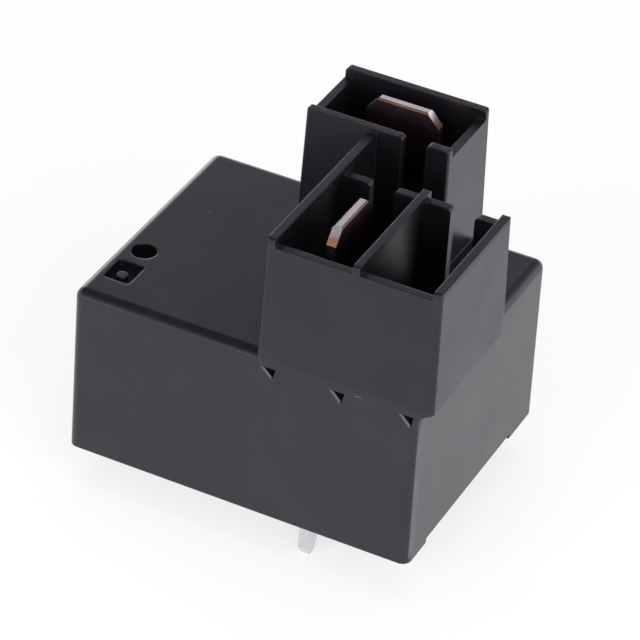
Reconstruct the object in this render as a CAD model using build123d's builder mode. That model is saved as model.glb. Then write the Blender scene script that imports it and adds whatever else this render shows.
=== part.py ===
from build123d import *
import math
import os

os.makedirs("parts", exist_ok=True)

# PCB power relay with one normally open contact and shrouded push-on tabs.
# Millimetres, +Z up. The origin is the centre of the case outline on the board
# plane: the case feet stand at z = 0 and the board pins reach below it.
# +X runs along the case towards the tabs, the front is -Y.

# For picking edges: a distance within which they match, and the most that an upright one leans
nearby = 0.01
upright_angle = 25.0

# Case moulding
case_length = 30.0
case_depth = 23.5
case_height = 15.0
case_wall = 1.0
case_top_wall = 1.2
case_inner_radius = 0.4
case_edge_radius = 0.8
case_draft = 0.5
skirt_relief = 0.4
front_foot_length = 3.4
rear_foot_length = 4.65

# Shroud round the tabs, one moulding with the case
shroud_wall = 0.7
divider_wall = 0.6
shroud_draft = 1.2
shroud_height = 10.9
front_wall_drop = 0.7
rear_pocket_rise = 0.4
rear_side_drop = 0.8
shroud_front_overhang = 0.2
shroud_rear_overhang = 0.9
no_pocket_width = 6.4
spare_pocket_width = 6.0
front_pocket_length = 10.8
com_pocket_length = 10.9
com_pocket_width = 6.2
pocket_floor_rise = 2.6
pocket_floor_wall = 1.2
slot_width = 2.0
slot_corner_radius = 0.35
shroud_edge_radius = 0.3
wall_end_radius = 0.25
corbel_height = 1.15
corbel_start = 0.15
corbel_bury = 0.05

# Small features of the case
vent_length = 2.8
vent_width = 2.3
vent_depth = 0.55
vent_corner_radius = 0.3
vent_from_left = 2.33
vent_from_front = 4.25
vent_nub_radius = 0.45
vent_nub_height = 0.45
vent_nub_shift = 0.3
plug_hole_radius = 1.05
plug_hole_depth = 0.6
plug_hole_from_left = 2.3
plug_hole_from_front = 7.5
notch_width = 1.6
notch_height = 1.25
notch_depth = 0.4
notch_skew = 0.45
notch_draft = 40.0
notch_count = 3
notch_pitch = 5.85
notch_from_shroud = 0.5

# Push-on tabs and board pins, standard 6.35 x 0.8 tab
tab_width = 6.35
tab_thickness = 0.8
tab_chamfer_width = 1.05
tab_chamfer_height = 1.2
tab_edge_bevel = 0.15
tab_below_rim = 0.1
no_tab_x = 5.5
com_tab_x = 2.3
blade_pin_width = 1.7
blade_pin_taper = 0.55
blade_pin_taper_length = 0.9
pin_length = 3.9
coil_pin_radius = 0.5
coil_pin_post_radius = 0.7
coil_pin_from_left = 2.5
coil_pin_pitch = 8.5
coil_pin_front_from_front = 8.5
coil_pin_rise = 3.4
coil_pin_tip = 0.25

# Base and seal
seal_recess = 0.5
seal_thickness = 0.4
base_thickness = 1.3
base_clearance = 0.08
seal_clearance = 0.02
pin_clearance = 0.04
barrier_thickness = 0.6
barrier_height = 6.2
socket_wall = 0.7
socket_height = 1.4
socket_length = 3.2

# Magnet
yoke_thickness = 1.4
yoke_width = 10.0
yoke_inner_radius = 0.3
yoke_lip = 4.2
armature_room = 2.8
core_radius = 2.5
core_stake_radius = 2.0
pole_radius = 4.0
pole_thickness = 0.6
bobbin_flange_thickness = 0.8
bobbin_corner_radius = 1.0
bobbin_hub_wall = 0.75
bobbin_gap = 0.4
winding_inset = 0.4
tape_thickness = 0.15
coil_clearance = 0.05
coil_side_gap = 1.1
lead_radius = 0.15
lead_rise = 0.5

# Armature, springs and contacts
armature_thickness = 1.1
armature_width = 9.0
armature_setback = 0.3
armature_corner_radius = 0.8
armature_clearance = 0.05
hinge_inset = 0.45
pole_gap = 0.55
spring_thickness = 0.2
spring_width = 8.0
spring_reach = 7.2
spring_bend_radius = 0.5
spring_foot = 1.8
seat_gap = 0.01
arm_thickness = 0.25
arm_width = 7.0
arm_start = 4.0
arm_tip_width = 4.4
arm_tip_overhang = 1.5
arm_crank_start = 0.3
arm_crank_length = 1.1
arm_crank_drop = 1.02
contact_radius = 1.6
contact_thickness = 0.7
contact_shank_radius = 0.8
contact_upset_radius = 1.0
contact_upset = 0.2
fixed_contact_thickness = 0.8
contact_room = 4.77
contact_from_front_wall = 2.55
contact_from_no_terminal = 3.6
contact_touch_gap = 0.03
ledge_overhang = 1.8
ledge_half_width = 1.75
ledge_bend_radius = 0.4
ledge_outer_radius = 0.7
rivet_radius = 0.8
rivet_head_radius = 1.3
rivet_head_height = 0.25
rivet_sink_angle = 90.0
rivet_fit = 0.02
arm_rivet_spacing = 4.4
arm_rivet_from_hinge = 5.6
yoke_rivet_spacing = 5.6
yoke_rivet_height = 4.8
stop_thickness = 0.4
stop_width = 4.5
stop_root = 0.9
stop_rivet_gap = 0.15
stop_clearance = 0.05
stop_wall_gap = 0.2
stop_bend_radius = 0.3
terminal_wall_gap = 0.25
no_plate_gap = 0.3
terminal_top_gap = 0.6
com_plate_margin = 0.4

# Case outline
left_x = -case_length / 2
right_x = case_length / 2
front_y = -case_depth / 2
rear_y = case_depth / 2
ceiling_z = case_height - case_top_wall
case_slope = math.tan(math.radians(case_draft))
shroud_slope = math.tan(math.radians(shroud_draft))
inner_front_y = front_y + case_wall
inner_rear_y = rear_y - case_wall
inner_right_x = right_x - case_wall

# Shroud outline at the rim of its tall walls
rim_z = case_height + shroud_height
rear_rim_z = rim_z + rear_pocket_rise
pocket_floor_z = case_height + pocket_floor_rise
corbel_top_z = case_height + corbel_start
corbel_foot_z = corbel_top_z - corbel_height
no_pocket_left = no_tab_x - no_pocket_width / 2
no_pocket_right = no_tab_x + no_pocket_width / 2
block_left = no_pocket_left - shroud_wall
spare_pocket_left = no_pocket_right + divider_wall
spare_pocket_right = spare_pocket_left + spare_pocket_width
spare_pocket_x = (spare_pocket_left + spare_pocket_right) / 2
block_right = spare_pocket_right + shroud_wall
block_front = front_y - shroud_front_overhang
front_pocket_front = block_front + shroud_wall
front_pocket_rear = front_pocket_front + front_pocket_length
front_pocket_y = (front_pocket_front + front_pocket_rear) / 2
block_rear = front_pocket_rear + shroud_wall
com_block_rear = rear_y + shroud_rear_overhang
com_pocket_rear = com_block_rear - shroud_wall
com_pocket_front = com_pocket_rear - com_pocket_width
com_block_front = com_pocket_front - shroud_wall
com_pocket_y = (com_pocket_front + com_pocket_rear) / 2
com_pocket_left = com_tab_x - com_pocket_length / 2
com_pocket_right = com_tab_x + com_pocket_length / 2
com_block_left = com_pocket_left - shroud_wall
com_block_right = com_pocket_right + shroud_wall
block_spread = shroud_slope * (rim_z - corbel_foot_z)
com_spread = shroud_slope * (rear_rim_z - corbel_foot_z)
wall_pass = 2 * shroud_wall

# Corbels: their slopes start this far inside the case walls and reach out to the shroud's walls
foot_inset = case_slope * corbel_foot_z + corbel_bury
corbel_draft = shroud_slope * corbel_height
front_reach = front_y + foot_inset - (block_front - block_spread + corbel_draft)
right_reach = block_right + block_spread - corbel_draft - (right_x - foot_inset)
rear_reach = com_block_rear + com_spread - corbel_draft - (rear_y - foot_inset)

# Levels inside the case
seal_top_z = seal_recess + seal_thickness
base_top_z = seal_top_z + base_thickness
yoke_floor_z = base_top_z + yoke_thickness
pole_z = ceiling_z - armature_room
head_z = pole_z - pole_thickness
winding_bottom_z = yoke_floor_z + bobbin_flange_thickness
winding_top_z = head_z - bobbin_flange_thickness

# Plan of the magnet, from the rear wall forwards
com_plate_rear = inner_rear_y - terminal_wall_gap
com_plate_front = com_plate_rear - tab_thickness
yoke_outer_y = com_plate_front - spring_thickness
yoke_inner_y = yoke_outer_y - yoke_thickness
barrier_front = inner_front_y + contact_room
bobbin_front = barrier_front + barrier_thickness + base_clearance
bobbin_flange = yoke_inner_y - bobbin_gap - bobbin_front
coil_y = bobbin_front + bobbin_flange / 2
no_plate_left = no_tab_x - tab_thickness / 2
coil_x = no_plate_left - coil_side_gap - bobbin_flange / 2
winding_radius = bobbin_flange / 2 - winding_inset
tape_radius = winding_radius + tape_thickness

# Armature hinge: the open angle gives the stated gap over the pole
hinge_y = yoke_outer_y - hinge_inset
hinge_z = pole_z + armature_clearance
open_angle = math.atan(pole_gap / (hinge_y - coil_y))
open_sin = math.sin(open_angle)
open_cos = math.cos(open_angle)
armature_plane = Plane(origin=(coil_x, hinge_y, hinge_z), x_dir=(1, 0, 0), z_dir=(0, open_sin, open_cos))
armature_length = (hinge_y - bobbin_front - armature_setback) / open_cos

# Contact line
contact_x = no_plate_left - contact_from_no_terminal
contact_y = inner_front_y + contact_from_front_wall
contact_along = (hinge_y - contact_y) / open_cos
arm_seat_up = armature_thickness + spring_thickness + 2 * seat_gap
arm_tip_up = arm_seat_up - arm_crank_drop
arm_length = contact_along + arm_tip_overhang
fixed_contact_top_z = hinge_z + arm_tip_up - contact_thickness - contact_touch_gap
ledge_top_z = fixed_contact_top_z - fixed_contact_thickness
ledge_bottom_z = ledge_top_z - tab_thickness

# Terminals
tab_tip_z = rim_z + tab_below_rim
no_plate_front = inner_front_y + no_plate_gap
no_tab_front = front_pocket_y - tab_width / 2
no_tab_rear = front_pocket_y + tab_width / 2
no_pin_y = no_plate_front + blade_pin_width / 2
plate_top_z = ceiling_z - terminal_top_gap
com_plate_y = (com_plate_front + com_plate_rear) / 2
com_plate_left = coil_x - yoke_rivet_spacing / 2 - rivet_head_radius - com_plate_margin
coil_pin_x = left_x + coil_pin_from_left
coil_pin_front_y = front_y + coil_pin_front_from_front
coil_pin_rear_y = coil_pin_front_y + coil_pin_pitch
yoke_rivet_z = base_top_z + yoke_rivet_height
rivet_sink_depth = (rivet_head_radius - rivet_radius) / math.tan(math.radians(rivet_sink_angle / 2))

# Back stop of the arm
stop_front_y = inner_front_y + stop_wall_gap
stop_rear_y = stop_front_y + stop_thickness
arm_tip_top_z = hinge_z + arm_length * open_sin + (arm_tip_up + arm_thickness) * open_cos
stop_hook_z = arm_tip_top_z + stop_clearance
stop_hook_y = contact_y - contact_upset_radius - stop_rivet_gap


def beside_hinge(along, up):
    """Point (y, z) at a distance forward of the hinge and a height above the armature's underside."""
    return (hinge_y - along * open_cos + up * open_sin, hinge_z + along * open_sin + up * open_cos)


def is_upright(edge):
    """True for an edge that runs up or down, give or take its draft."""
    return abs(edge.tangent_at(0.5).Z) > math.cos(math.radians(upright_angle))


def is_slot_side(edge):
    """True for an edge on the side of a slot."""
    from_middle = min(abs(edge.center().X - no_tab_x), abs(edge.center().X - spare_pocket_x))
    return abs(from_middle - slot_width / 2) < nearby


def at_place(shapes, axis, place):
    """The shapes whose centre lies at one place along an axis."""
    return shapes.filter_by_position(axis, place - nearby, place + nearby)


# Front block of the shroud: drafted walls with rounded upright arrises and rounded ends at the rim
with BuildPart() as front_block:
    with BuildSketch(Plane.XY.offset(corbel_foot_z)):
        with Locations((block_left - block_spread, block_front - block_spread)):
            Rectangle(block_right - block_left + 2 * block_spread,
                      block_rear - block_front + 2 * block_spread, align=(Align.MIN, Align.MIN))
    extrude(amount=rim_z - corbel_foot_z, taper=shroud_draft)
    fillet(front_block.edges().filter_by(is_upright), radius=shroud_edge_radius)
    with BuildSketch(Plane.YZ) as end_view:
        with BuildLine():
            Polyline((block_front, rim_z), (block_rear, rim_z), (block_rear + block_spread, corbel_foot_z),
                     (block_front - block_spread, corbel_foot_z), close=True)
        make_face()
        fillet(end_view.vertices().group_by(Axis.Y)[-1], radius=wall_end_radius)
    extrude(amount=case_length, both=True, mode=Mode.INTERSECT)
    # Rear run of the left wall, up to the rear pocket
    with BuildSketch(Plane.XY.offset(corbel_foot_z)):
        with Locations((block_left - block_spread, block_rear - shroud_wall)):
            Rectangle(shroud_wall + 2 * block_spread, com_block_front - block_rear + 2 * shroud_wall,
                      align=(Align.MIN, Align.MIN))
    extrude(amount=rim_z - corbel_foot_z, taper=shroud_draft)
    # Corbels under the walls that stand out over the case, at the front and on the right
    front_foot = (0, front_y + foot_inset, corbel_foot_z)
    split(bisect_by=Plane(origin=front_foot, z_dir=(0, -corbel_height, -front_reach)), keep=Keep.BOTTOM)
    right_foot = (right_x - foot_inset, 0, corbel_foot_z)
    split(bisect_by=Plane(origin=right_foot, z_dir=(corbel_height, 0, -right_reach)), keep=Keep.BOTTOM)

# Rear block of the shroud, made the same way round the common tab
with BuildPart() as rear_block:
    with BuildSketch(Plane.XY.offset(corbel_foot_z)):
        with Locations((com_block_left - com_spread, com_block_front - com_spread)):
            Rectangle(com_block_right - com_block_left + 2 * com_spread,
                      com_block_rear - com_block_front + 2 * com_spread, align=(Align.MIN, Align.MIN))
    extrude(amount=rear_rim_z - corbel_foot_z, taper=shroud_draft)
    fillet(rear_block.edges().filter_by(is_upright), radius=shroud_edge_radius)
    with BuildSketch(Plane.XZ) as front_view:
        with BuildLine():
            Polyline((com_block_left, rear_rim_z), (com_block_right, rear_rim_z),
                     (com_block_right + com_spread, corbel_foot_z),
                     (com_block_left - com_spread, corbel_foot_z), close=True)
        make_face()
        fillet(front_view.vertices().group_by(Axis.Y)[-1], radius=wall_end_radius)
    extrude(amount=case_length, both=True, mode=Mode.INTERSECT)
    rear_foot = (0, rear_y - foot_inset, corbel_foot_z)
    split(bisect_by=Plane(origin=rear_foot, z_dir=(0, corbel_height, -rear_reach)), keep=Keep.BOTTOM)

# Room inside the case for the magnet
with BuildPart() as cavity:
    with BuildSketch():
        Rectangle(case_length - 2 * case_wall, case_depth - 2 * case_wall)
    extrude(amount=ceiling_z, taper=case_draft)
    fillet(cavity.edges().filter_by(is_upright), radius=case_inner_radius)


# Case with its shroud
with BuildPart() as case:
    with BuildSketch():
        Rectangle(case_length, case_depth)
    extrude(amount=case_height, taper=case_draft)
    top_edges = case.faces().sort_by(Axis.Z)[-1].edges()
    fillet(case.edges().filter_by(is_upright) + top_edges, radius=case_edge_radius)
    add(front_block.part)
    add(rear_block.part)

    # Pockets, open at the top
    with BuildSketch(Plane.XY.offset(pocket_floor_z)):
        with Locations((no_tab_x, front_pocket_y)):
            Rectangle(no_pocket_width, front_pocket_length)
        with Locations((spare_pocket_x, front_pocket_y)):
            Rectangle(spare_pocket_width, front_pocket_length)
        with Locations((com_tab_x, com_pocket_y)):
            Rectangle(com_pocket_length, com_pocket_width)
    extrude(amount=rear_rim_z - pocket_floor_z, mode=Mode.SUBTRACT)

    # Cross walls of the front block stand lower than the walls along Y
    low_rim_z = rim_z - front_wall_drop
    with BuildSketch(Plane.XY.offset(low_rim_z)):
        with Locations((no_tab_x, front_pocket_y)):
            Rectangle(no_pocket_width, front_pocket_length + 2 * wall_pass)
        with Locations((spare_pocket_x, front_pocket_y)):
            Rectangle(spare_pocket_width, front_pocket_length + 2 * wall_pass)
    extrude(amount=front_wall_drop, mode=Mode.SUBTRACT)
    # Side walls of the rear pocket stand lower than its front and rear walls
    with BuildSketch(Plane.XY.offset(rear_rim_z - rear_side_drop)):
        with Locations((com_tab_x, com_pocket_y)):
            Rectangle(com_pocket_length + 2 * wall_pass, com_pocket_width)
    extrude(amount=rear_side_drop, mode=Mode.SUBTRACT)

    # Slots in the cross walls, in line with the tabs, with rounded lips
    with BuildSketch(Plane.XY.offset(pocket_floor_z)):
        with Locations((no_tab_x, front_pocket_rear), (spare_pocket_x, front_pocket_rear),
                       (no_tab_x, com_pocket_front - wall_pass)):
            Rectangle(slot_width, wall_pass, align=(Align.CENTER, Align.MIN))
    extrude(amount=rear_rim_z - pocket_floor_z, mode=Mode.SUBTRACT)
    slot_lips = at_place(case.edges().filter_by(Axis.Y), Axis.Z, low_rim_z).filter_by(is_slot_side)
    slot_lips += at_place(case.edges().filter_by(Axis.Y), Axis.Z, rear_rim_z).filter_by(is_slot_side)
    fillet(slot_lips, radius=slot_corner_radius)

    # Room for the magnet, and cored-out pocket floors
    add(cavity.part, mode=Mode.SUBTRACT)
    core_top = pocket_floor_z - pocket_floor_wall
    core_right = min(spare_pocket_right - case_inner_radius, inner_right_x - case_slope * core_top)
    core_front = max(front_pocket_front, inner_front_y + case_slope * core_top)
    core_rear = min(com_pocket_rear, inner_rear_y - case_slope * core_top)
    with BuildSketch(Plane.XY.offset(ceiling_z - corbel_bury)):
        with Locations((no_tab_x, core_front)):
            Rectangle(no_pocket_width, front_pocket_rear - core_front, align=(Align.CENTER, Align.MIN))
        with Locations((spare_pocket_left, core_front)):
            Rectangle(core_right - spare_pocket_left, front_pocket_rear - core_front,
                      align=(Align.MIN, Align.MIN))
        with Locations((com_tab_x, com_pocket_front)):
            Rectangle(com_pocket_length, core_rear - com_pocket_front, align=(Align.CENTER, Align.MIN))
    extrude(amount=core_top - ceiling_z + corbel_bury, mode=Mode.SUBTRACT)

    # Slots that the tabs pass through
    with BuildSketch(Plane.XY.offset(ceiling_z)):
        with Locations((no_tab_x, front_pocket_y)):
            Rectangle(tab_thickness + 2 * pin_clearance, tab_width + 2 * pin_clearance)
        with Locations((com_tab_x, com_plate_y)):
            Rectangle(tab_width + 2 * pin_clearance, tab_thickness + 2 * pin_clearance)
    extrude(amount=pocket_floor_z - ceiling_z, mode=Mode.SUBTRACT)

    # Relief under the end walls leaves a foot at each corner
    relief_length = case_depth - front_foot_length - rear_foot_length
    with BuildSketch():
        with Locations((0, front_y + front_foot_length)):
            Rectangle(case_length + 2 * case_wall, relief_length, align=(Align.CENTER, Align.MIN))
    extrude(amount=skirt_relief, mode=Mode.SUBTRACT)

    # Vent recess with its break-off nub, and the round blind hole behind it
    vent_x = left_x + vent_from_left
    vent_y = front_y + vent_from_front
    with BuildSketch(Plane.XY.offset(case_height)):
        with Locations((vent_x, vent_y)):
            RectangleRounded(vent_width, vent_length, vent_corner_radius)
    extrude(amount=-vent_depth, mode=Mode.SUBTRACT)
    with BuildSketch(Plane.XY.offset(case_height - vent_depth)):
        with Locations((vent_x, vent_y - vent_nub_shift)):
            Circle(vent_nub_radius)
    extrude(amount=vent_nub_height)
    with Locations((left_x + plug_hole_from_left, front_y + plug_hole_from_front, case_height)):
        Hole(plug_hole_radius, depth=plug_hole_depth)

    # Three-sided notches under the foot of the shroud
    notch_y = front_y + case_slope * corbel_foot_z - corbel_bury
    notch_plane = Plane(origin=(0, notch_y, corbel_foot_z), x_dir=(-1, 0, 0), z_dir=(0, 1, 0))
    with BuildSketch(notch_plane):
        for notch in range(notch_count):
            with Locations((-block_left - notch_from_shroud - notch * notch_pitch, 0)):
                Polygon((-notch_width / 2, 0), (notch_width / 2, 0), (-notch_skew, -notch_height),
                        align=None)
    extrude(amount=notch_depth, taper=notch_draft, mode=Mode.SUBTRACT)

case.part.label = "case"
export_step(case.part, "parts/case.step")


# Base plate with the barrier between coil and contacts
with BuildPart() as base:
    base_length = case_length - 2 * case_wall - 2 * base_clearance
    base_depth = case_depth - 2 * case_wall - 2 * base_clearance
    with BuildSketch(Plane.XY.offset(seal_top_z)):
        Rectangle(base_length, base_depth)
    extrude(amount=base_thickness, taper=case_draft)
    fillet(base.edges().filter_by(is_upright), radius=case_inner_radius)
    barrier_left = coil_x - bobbin_flange / 2
    barrier_right = no_plate_left - base_clearance
    with BuildSketch(Plane.XY.offset(base_top_z)):
        with Locations((barrier_left, barrier_front)):
            Rectangle(barrier_right - barrier_left, barrier_thickness, align=(Align.MIN, Align.MIN))
    extrude(amount=barrier_height)
    # Walls of the socket that holds the foot of the normally open terminal
    with BuildSketch(Plane.XY.offset(base_top_z)):
        with Locations((no_tab_x, no_plate_front + socket_length / 2)):
            Rectangle(tab_thickness + 2 * (pin_clearance + socket_wall), socket_length)
            Rectangle(tab_thickness + 2 * pin_clearance, socket_length, mode=Mode.SUBTRACT)
    extrude(amount=socket_height)
    with BuildSketch(Plane.XY.offset(seal_top_z)):
        with Locations((no_tab_x, no_pin_y)):
            Rectangle(tab_thickness + 2 * pin_clearance, blade_pin_width + 2 * pin_clearance)
        with Locations((com_tab_x, com_plate_y)):
            Rectangle(blade_pin_width + 2 * pin_clearance, tab_thickness + 2 * pin_clearance)
        with Locations((coil_pin_x, coil_pin_front_y), (coil_pin_x, coil_pin_rear_y)):
            Circle(coil_pin_post_radius + pin_clearance)
    extrude(amount=base_thickness + socket_height, mode=Mode.SUBTRACT)
    with BuildSketch(Plane.XY.offset(base_top_z)):
        with Locations((contact_x, (stop_front_y + stop_rear_y) / 2)):
            Rectangle(stop_width + 2 * pin_clearance, stop_thickness + 2 * pin_clearance)
    extrude(amount=-stop_root, mode=Mode.SUBTRACT)
base.part.label = "base"
export_step(base.part, "parts/base.step")


# Sealing layer under the base
with BuildPart() as epoxy_seal:
    with BuildSketch(Plane.XY.offset(seal_recess)):
        Rectangle(case_length - 2 * (case_wall + seal_clearance),
                  case_depth - 2 * (case_wall + seal_clearance))
    extrude(amount=seal_thickness, taper=case_draft)
    fillet(epoxy_seal.edges().filter_by(is_upright), radius=case_inner_radius)
    with BuildSketch(Plane.XY.offset(seal_recess)):
        with Locations((no_tab_x, no_pin_y)):
            Rectangle(tab_thickness + 2 * seal_clearance, blade_pin_width + 2 * seal_clearance)
        with Locations((com_tab_x, com_plate_y)):
            Rectangle(blade_pin_width + 2 * seal_clearance, tab_thickness + 2 * seal_clearance)
        with Locations((coil_pin_x, coil_pin_front_y), (coil_pin_x, coil_pin_rear_y)):
            Circle(coil_pin_post_radius + seal_clearance)
    extrude(amount=seal_thickness, mode=Mode.SUBTRACT)
epoxy_seal.part.label = "epoxy_seal"
export_step(epoxy_seal.part, "parts/epoxy_seal.step")


# Normally open terminal: tab, contact ledge and board pin in one stamping
with BuildPart() as no_terminal:
    with BuildSketch(Plane.YZ.offset(no_plate_left)):
        with Locations((no_plate_front, base_top_z)):
            Rectangle(no_tab_rear - no_plate_front, plate_top_z - base_top_z, align=(Align.MIN, Align.MIN))
        with BuildLine():
            Polyline((no_tab_front, plate_top_z), (no_tab_front, tab_tip_z - tab_chamfer_height),
                     (no_tab_front + tab_chamfer_width, tab_tip_z),
                     (no_tab_rear - tab_chamfer_width, tab_tip_z),
                     (no_tab_rear, tab_tip_z - tab_chamfer_height), (no_tab_rear, plate_top_z), close=True)
        make_face()
        with BuildLine():
            Polyline((no_plate_front, base_top_z), (no_plate_front, blade_pin_taper_length - pin_length),
                     (no_plate_front + blade_pin_taper, -pin_length),
                     (no_plate_front + blade_pin_width - blade_pin_taper, -pin_length),
                     (no_plate_front + blade_pin_width, blade_pin_taper_length - pin_length),
                     (no_plate_front + blade_pin_width, base_top_z), close=True)
        make_face()
        # Window left by the ledge that is folded out of the plate
        with Locations((contact_y, ledge_bottom_z)):
            Rectangle(2 * ledge_half_width, ledge_bottom_z - base_top_z - socket_height,
                      align=(Align.CENTER, Align.MAX), mode=Mode.SUBTRACT)
    extrude(amount=tab_thickness)
    with BuildSketch(Plane.XY.offset(ledge_bottom_z)):
        with Locations((no_plate_left, contact_y)):
            Rectangle(no_plate_left - contact_x + ledge_overhang, 2 * ledge_half_width,
                      align=(Align.MAX, Align.CENTER))
    extrude(amount=tab_thickness)
    ledge_corner = at_place(no_terminal.edges().filter_by(Axis.Y), Axis.Z, ledge_top_z)
    fillet(at_place(ledge_corner, Axis.X, no_plate_left), radius=ledge_bend_radius)
    ledge_back = at_place(no_terminal.edges().filter_by(Axis.Y), Axis.Z, ledge_bottom_z)
    fillet(at_place(ledge_back, Axis.X, no_plate_left + tab_thickness), radius=ledge_outer_radius)
    chamfer(at_place(no_terminal.edges().filter_by(Axis.Y), Axis.Z, tab_tip_z), length=tab_edge_bevel)
no_terminal.part.label = "no_terminal"
export_step(no_terminal.part, "parts/no_terminal.step")


# Common terminal: tab, riveted plate and board pin in one stamping
com_tab_left = com_tab_x - tab_width / 2
com_tab_right = com_tab_x + tab_width / 2
com_pin_left = com_tab_x - blade_pin_width / 2
with BuildPart() as com_terminal:
    with BuildSketch(Plane.XZ.offset(-com_plate_front)):
        with Locations((com_plate_left, base_top_z)):
            Rectangle(com_tab_right - com_plate_left, plate_top_z - base_top_z,
                      align=(Align.MIN, Align.MIN))
        with BuildLine():
            Polyline((com_tab_left, plate_top_z), (com_tab_left, tab_tip_z - tab_chamfer_height),
                     (com_tab_left + tab_chamfer_width, tab_tip_z),
                     (com_tab_right - tab_chamfer_width, tab_tip_z),
                     (com_tab_right, tab_tip_z - tab_chamfer_height), (com_tab_right, plate_top_z),
                     close=True)
        make_face()
        with BuildLine():
            Polyline((com_pin_left, base_top_z), (com_pin_left, blade_pin_taper_length - pin_length),
                     (com_pin_left + blade_pin_taper, -pin_length),
                     (com_pin_left + blade_pin_width - blade_pin_taper, -pin_length),
                     (com_pin_left + blade_pin_width, blade_pin_taper_length - pin_length),
                     (com_pin_left + blade_pin_width, base_top_z), close=True)
        make_face()
    extrude(amount=-tab_thickness)
    chamfer(at_place(com_terminal.edges().filter_by(Axis.X), Axis.Z, tab_tip_z), length=tab_edge_bevel)
    # Countersunk from the rear, so that the rivets end flush and clear of the case wall
    with Locations(Plane(origin=(coil_x, com_plate_rear, yoke_rivet_z), x_dir=(1, 0, 0), z_dir=(0, 1, 0))):
        with GridLocations(yoke_rivet_spacing, 1, 2, 1):
            CounterSinkHole(rivet_radius + rivet_fit, rivet_head_radius + rivet_fit, depth=tab_thickness,
                            counter_sink_angle=rivet_sink_angle)
com_terminal.part.label = "com_terminal"
export_step(com_terminal.part, "parts/com_terminal.step")


# Coil pins: a post through base and seal stands on the board, and is turned down below it
for pin_name, pin_y in (("coil_pin_front", coil_pin_front_y), ("coil_pin_rear", coil_pin_rear_y)):
    with BuildPart() as coil_pin:
        with BuildSketch():
            with Locations((coil_pin_x, pin_y)):
                Circle(coil_pin_post_radius)
        extrude(amount=base_top_z + coil_pin_rise)
        with BuildSketch():
            with Locations((coil_pin_x, pin_y)):
                Circle(coil_pin_radius)
        extrude(amount=-pin_length)
        chamfer(coil_pin.edges().filter_by(GeomType.CIRCLE).sort_by(Axis.Z)[0], length=coil_pin_tip)
    coil_pin.part.label = pin_name
    export_step(coil_pin.part, f"parts/{pin_name}.step")


# L-shaped yoke
with BuildPart() as yoke:
    yoke_front = coil_y - yoke_lip
    with BuildSketch(Plane.YZ.offset(coil_x)):
        with BuildLine():
            Polyline((yoke_front, base_top_z), (yoke_outer_y, base_top_z), (yoke_outer_y, pole_z),
                     (yoke_inner_y, pole_z), (yoke_inner_y, yoke_floor_z), (yoke_front, yoke_floor_z),
                     close=True)
        make_face()
    extrude(amount=yoke_width / 2, both=True)
    outer_bend = at_place(yoke.edges().filter_by(Axis.X), Axis.Y, yoke_outer_y)
    fillet(at_place(outer_bend, Axis.Z, base_top_z), radius=yoke_thickness + yoke_inner_radius / 2)
    inner_bend = at_place(yoke.edges().filter_by(Axis.X), Axis.Y, yoke_inner_y)
    fillet(at_place(inner_bend, Axis.Z, yoke_floor_z), radius=yoke_inner_radius)
    with Locations((coil_x, coil_y, yoke_floor_z)):
        Hole(core_stake_radius + rivet_fit, depth=yoke_thickness)
    with BuildSketch(Plane.XZ.offset(-yoke_outer_y)):
        with Locations((coil_x, yoke_rivet_z)):
            with GridLocations(yoke_rivet_spacing, 1, 2, 1):
                Circle(rivet_radius + rivet_fit)
    extrude(amount=yoke_thickness, mode=Mode.SUBTRACT)
yoke.part.label = "yoke"
export_step(yoke.part, "parts/yoke.step")


# Iron core with its pole head, staked into the yoke
core_plane = Plane(origin=(coil_x, coil_y, 0), x_dir=(1, 0, 0), z_dir=(0, -1, 0))
with BuildPart() as core:
    with BuildSketch(core_plane):
        with BuildLine():
            Polyline((0, base_top_z), (core_stake_radius, base_top_z), (core_stake_radius, yoke_floor_z),
                     (core_radius, yoke_floor_z), (core_radius, head_z), (pole_radius, head_z),
                     (pole_radius, pole_z), (0, pole_z), close=True)
        make_face()
    revolve(axis=Axis((coil_x, coil_y, 0), (0, 0, 1)))
core.part.label = "core"
export_step(core.part, "parts/core.step")


# Bobbin
with BuildPart() as bobbin:
    with BuildSketch(Plane.XY.offset(yoke_floor_z)):
        with Locations((coil_x, coil_y)):
            RectangleRounded(bobbin_flange, bobbin_flange, bobbin_corner_radius)
    extrude(amount=bobbin_flange_thickness)
    with BuildSketch(Plane.XY.offset(winding_top_z)):
        with Locations((coil_x, coil_y)):
            RectangleRounded(bobbin_flange, bobbin_flange, bobbin_corner_radius)
    extrude(amount=bobbin_flange_thickness)
    with BuildSketch(Plane.XY.offset(winding_bottom_z)):
        with Locations((coil_x, coil_y)):
            Circle(core_radius + coil_clearance + bobbin_hub_wall)
    extrude(amount=winding_top_z - winding_bottom_z)
    with Locations((coil_x, coil_y, head_z)):
        Hole(core_radius + coil_clearance, depth=head_z - yoke_floor_z)
bobbin.part.label = "bobbin"
export_step(bobbin.part, "parts/bobbin.step")

# Winding and its tape
with BuildPart() as coil_winding:
    with BuildSketch(Plane.XY.offset(winding_bottom_z)):
        with Locations((coil_x, coil_y)):
            Circle(winding_radius)
            Circle(core_radius + coil_clearance + bobbin_hub_wall + seat_gap, mode=Mode.SUBTRACT)
    extrude(amount=winding_top_z - winding_bottom_z)
coil_winding.part.label = "coil_winding"
export_step(coil_winding.part, "parts/coil_winding.step")

with BuildPart() as coil_tape:
    with BuildSketch(Plane.XY.offset(winding_bottom_z)):
        with Locations((coil_x, coil_y)):
            Circle(tape_radius)
            Circle(winding_radius + seat_gap, mode=Mode.SUBTRACT)
    extrude(amount=winding_top_z - winding_bottom_z)
coil_tape.part.label = "coil_tape"
export_step(coil_tape.part, "parts/coil_tape.step")


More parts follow.
